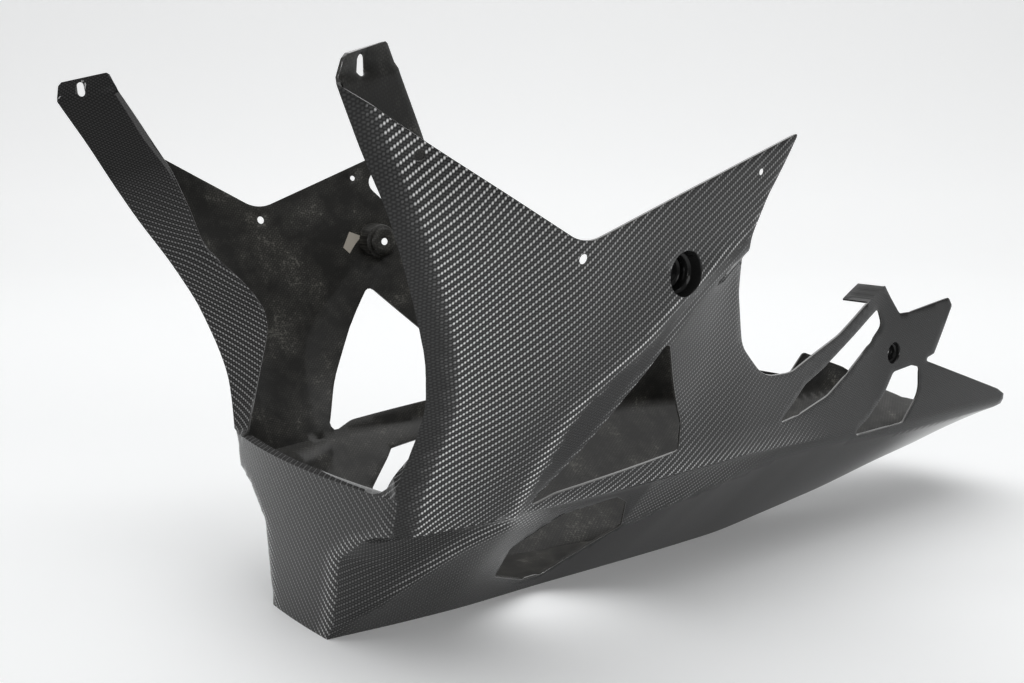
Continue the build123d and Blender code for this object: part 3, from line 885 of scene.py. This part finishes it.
def carbonRough():
    # the inner face: dark resin over a print of the weave, shown brighter in broad patches as painted glints, with pale
    # specks and scuffs
    material, tree, shader = newMaterial("carbonRough")
    place = wire(tree, "ShaderNodeTexCoord").outputs["Object"]
    height = weavePattern(tree)[1]
    broad = wire(tree, "ShaderNodeTexNoise", [place, None, 28.0, 6.0, 0.7]).outputs[0]
    fine = wire(tree, "ShaderNodeTexNoise", [place, None, 420.0, 3.0, 0.6]).outputs[0]
    long = wire(tree, "ShaderNodeMapping", [place, None, (0.3, 0.5, 0.9), (60.0, 60.0, 320.0)])
    scuff = wire(tree, "ShaderNodeTexNoise", [long.outputs[0], None, 1.0, 4.0, 0.6]).outputs[0]
    speck = wire(tree, "ShaderNodeMapRange", [maths(tree, "MULTIPLY", fine, broad), 0.33, 0.46, 0.0, 1.0]).outputs[0]
    mark = wire(tree, "ShaderNodeMapRange", [maths(tree, "MULTIPLY", scuff, broad), 0.36, 0.50, 0.0, 1.0]).outputs[0]
    pale = maths(tree, "MULTIPLY", maths(tree, "MAXIMUM", speck, mark), rough["pale"])
    # broad patches where the weave's print is shown brighter: painted glints over a real print
    glintPatches = wire(tree, "ShaderNodeMapRange", [broad, 0.42, 0.62, 0.15, 1.0]).outputs[0]
    shown = maths(tree, "MULTIPLY", maths(tree, "MULTIPLY", height, glintPatches), rough["print"])
    base = maths(tree, "ADD", shown, rough["dark"])
    red = maths(tree, "ADD", base, pale)
    blue = maths(tree, "MULTIPLY", red, rough["warmth"])
    colour = wire(tree, "ShaderNodeCombineColor", [red, maths(tree, "MULTIPLY", red, 0.97), blue])
    tree.links.new(colour.outputs[0], shader.inputs["Base Color"])
    shader.inputs["Roughness"].default_value = 0.33
    shader.inputs["Specular IOR Level"].default_value = 0.3
    bump = wire(tree, "ShaderNodeBump")
    bump.inputs["Strength"].default_value = 0.35
    bump.inputs["Distance"].default_value = 0.0008
    tree.links.new(maths(tree, "ADD", broad, maths(tree, "MULTIPLY", height, 0.1)), bump.inputs["Height"])
    tree.links.new(bump.outputs[0], shader.inputs["Normal"])
    return material


def cutEdge():
    material, tree, shader = newMaterial("cutEdge")
    # the cut edge's own paler colour, set lighter to stand in for the bright lines along the rims: partly a painted
    # highlight
    shader.inputs["Base Color"].default_value = (0.035, 0.034, 0.032, 1)
    shader.inputs["Roughness"].default_value = 0.16
    shader.inputs["Coat Weight"].default_value = 1.0
    return material


for material in (carbonGloss(), carbonRough(), cutEdge()):
    piece.data.materials.append(material)
finishSkin(piece)
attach(piece, "root")
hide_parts(laminate["node"])
print("skin finished")

patch = {
    # a pale patch stuck inside the right flank: its corners (x, z)
    "corners": [(-170, 275), (-182, 270.5), (-175, 263), (-169, 255), (-163, 260.6)],
    "thickness": 0.3,
    "colour": (0.42, 0.385, 0.33, 1),
}


def addPatch():
    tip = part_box(laminate["node"])[1].x * 1000 - laminate["tipAheadOfChin"]
    points, faces = sheetPoints(divided(patch["corners"], 3, closed=True), [], [])
    inner = [halfWidth(x, z) - laminate["thickness"] for x, z in points]
    mesh = bpy.data.meshes.new("innerPatch")
    place = [((x + tip) / 1000, -float(y) / 1000, z / 1000) for (x, z), y in zip(points, inner)]
    mesh.from_pydata(place, [], faces)
    obj = bpy.data.objects.new("innerPatch", mesh)
    bpy.context.collection.objects.link(obj)
    bpy.ops.object.select_all(action="DESELECT")
    obj.select_set(True)
    bpy.context.view_layer.objects.active = obj
    if mesh.polygons[0].normal.y < 0:
        mesh.flip_normals()
    wall = obj.modifiers.new("wall", "SOLIDIFY")
    wall.thickness = patch["thickness"] / 1000
    wall.offset = 1
    bpy.ops.object.modifier_apply(modifier=wall.name)
    material, _, shader = newMaterial("palePatch")
    shader.inputs["Base Color"].default_value = patch["colour"]
    shader.inputs["Roughness"].default_value = 0.55
    obj.data.materials.append(material)
    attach(obj, "root")
    print("patch", len(mesh.polygons), "faces")


addPatch()


# Studio

studio = {
    "camera": (0.4252, 0.8781, 0.3641),    # from the chin's foot
    "heading": (-0.5795, -0.8150),
    "pitch": -8.825,
    "lens": 46.758,
    "floor": (0.86, 0.87, 0.875),
    "world": 0.28,
    "paperGlow": (0.12, 0.36),  # painted glow: the paper's own emitted light near the pan and on the wall
    "glowFrom": (0.5, 3.0),
    "paintedShadeFrom": -1.3,           # painted shade: the paper's colour darkens towards the camera between these distances from the pan's middle
    "brightFrom": -0.55,
    "paintedShadeShare": 0.25,
    "near": 5.0,                # the floor, its curve and the wall behind, metres
    "far": 2.2,
    "cove": 2.0,
    "height": 6.0,
    "half": 12.0,
}


def aimed(obj, direction):
    obj.rotation_mode = "QUATERNION"
    obj.rotation_quaternion = direction.to_track_quat("-Z", "Y")


def addCamera():
    bpy.ops.object.camera_add()
    camera = bpy.context.object
    camera.name = "studioCamera"
    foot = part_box(laminate["node"])[1].x - laminate["tipAheadOfChin"] / 1000
    x, y, z = studio["camera"]
    camera.location = (x + foot, y, z)
    level = math.cos(math.radians(studio["pitch"]))
    hx, hy = studio["heading"]
    aimed(camera, Vector((hx * level, hy * level, math.sin(math.radians(studio["pitch"])))))
    camera.data.lens = studio["lens"]
    camera.data.sensor_width = 36
    bpy.context.scene.camera = camera


def addLight(name, location, target, size, power):
    bpy.ops.object.light_add(type="AREA")
    lamp = bpy.context.object
    lamp.name = name
    lamp.location = location
    lamp.data.shape = "RECTANGLE"
    lamp.data.size, lamp.data.size_y = size
    lamp.data.energy = power
    aimed(lamp, Vector(target) - Vector(location))


def palePaper(away):
    # pale paper with a painted glow that grows behind the pan, and painted shade that darkens it towards the camera's
    # end of the sweep
    material, tree, shader = newMaterial("palePaper")
    place = wire(tree, "ShaderNodeTexCoord").outputs["Object"]
    run = wire(tree, "ShaderNodeVectorMath", [place, tuple(away)], operation="DOT_PRODUCT").outputs["Value"]
    shadeStart, bright = studio["paintedShadeFrom"], studio["brightFrom"]
    lit = wire(tree, "ShaderNodeMapRange", [run, shadeStart, bright, studio["paintedShadeShare"], 1.0]).outputs[0]
    colour = [maths(tree, "MULTIPLY", lit, share) for share in studio["floor"]]
    paper = wire(tree, "ShaderNodeCombineColor", colour).outputs[0]
    glow = wire(tree, "ShaderNodeMapRange", [run, *studio["glowFrom"], *studio["paperGlow"]]).outputs[0]
    tree.links.new(paper, shader.inputs["Base Color"])
    tree.links.new(glow, shader.inputs["Emission Strength"])
    shader.inputs["Emission Color"].default_value = (1, 1, 1, 1)
    shader.inputs["Roughness"].default_value = 0.6
    shader.inputs["Specular IOR Level"].default_value = 0.1
    return material


def addBackdrop():
    # a pale floor that curves up into a wall behind the pan
    away = Vector(studio["heading"] + (0,)).normalized()
    aside = Vector((-away.y, away.x, 0))
    near, far, radius, height, half = (studio[key] for key in ("near", "far", "cove", "height", "half"))
    path = [(-near, 0.0), (far, 0.0)]
    path += [(far + radius * math.sin(a), radius * (1 - math.cos(a))) for a in np.linspace(0, math.pi / 2, 40)[1:]]
    path.append((far + radius, height))
    mesh = bpy.data.meshes.new("studioFloor")
    points = [away * run + aside * share + Vector((0, 0, rise)) for run, rise in path for share in (-half, half)]
    mesh.from_pydata(points, [], [(2 * n, 2 * n + 1, 2 * n + 3, 2 * n + 2) for n in range(len(path) - 1)])
    mesh.polygons.foreach_set("use_smooth", [True] * len(mesh.polygons))
    floor = bpy.data.objects.new("studioFloor", mesh)
    bpy.context.collection.objects.link(floor)
    floor.data.materials.append(palePaper(away))


def addLights():
    world = bpy.data.worlds.new("studio")
    bpy.context.scene.world = world
    world.use_nodes = True
    world.node_tree.nodes["Background"].inputs[0].default_value = (1, 1, 1, 1)
    world.node_tree.nodes["Background"].inputs[1].default_value = studio["world"]
    addLight("topSoft", (-0.2, -0.3, 2.4), (0, 0, 0.1), (4.0, 3.4), 58)
    addLight("leftSoft", (0.5, 2.6, 1.0), (0, 0.2, 0.2), (1.2, 0.9), 7)
    addLight("frontStrip", (2.3, 1.65, 0.45), (0.35, 0.0, 0.1), (0.24, 1.2), 13)


addCamera()
addBackdrop()
addLights()
bpy.context.scene.view_settings.view_transform = "Standard"
